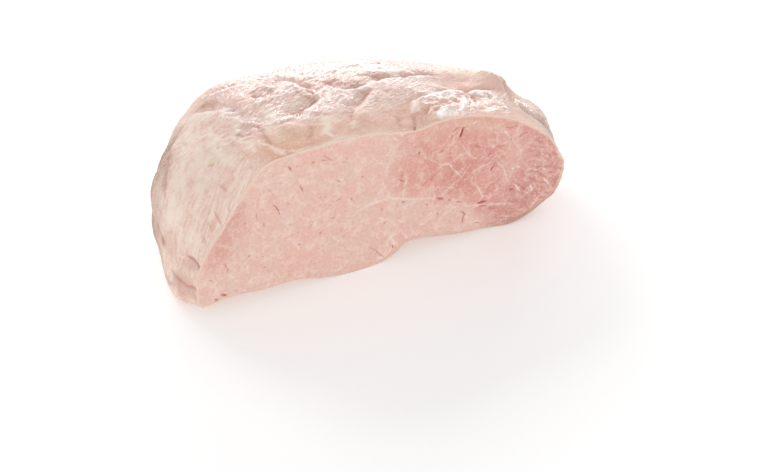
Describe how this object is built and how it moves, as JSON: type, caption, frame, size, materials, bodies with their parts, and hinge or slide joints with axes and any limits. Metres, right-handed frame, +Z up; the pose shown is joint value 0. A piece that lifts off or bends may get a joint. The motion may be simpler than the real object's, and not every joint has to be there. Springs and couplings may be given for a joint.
{
  "type": "cooked ham half",
  "caption": "Boneless cooked ham cut across, with a flat cut face in front, a rounded end behind it and a soft folded skin; lies on its flat underside.",
  "frame": {"origin": "middle of the bounding box, on the surface that the ham lies on", "axes": "+X along the cut to its right end as seen from the front, +Y from the cut face back to the rounded end, +Z up"},
  "size_m": [0.313, 0.1594, 0.1181],
  "materials": {
    "ham": "moist satin"
  },
  "bodies": {
    "root": {"cooked_ham": "ham"}
  },
  "joints": []
}
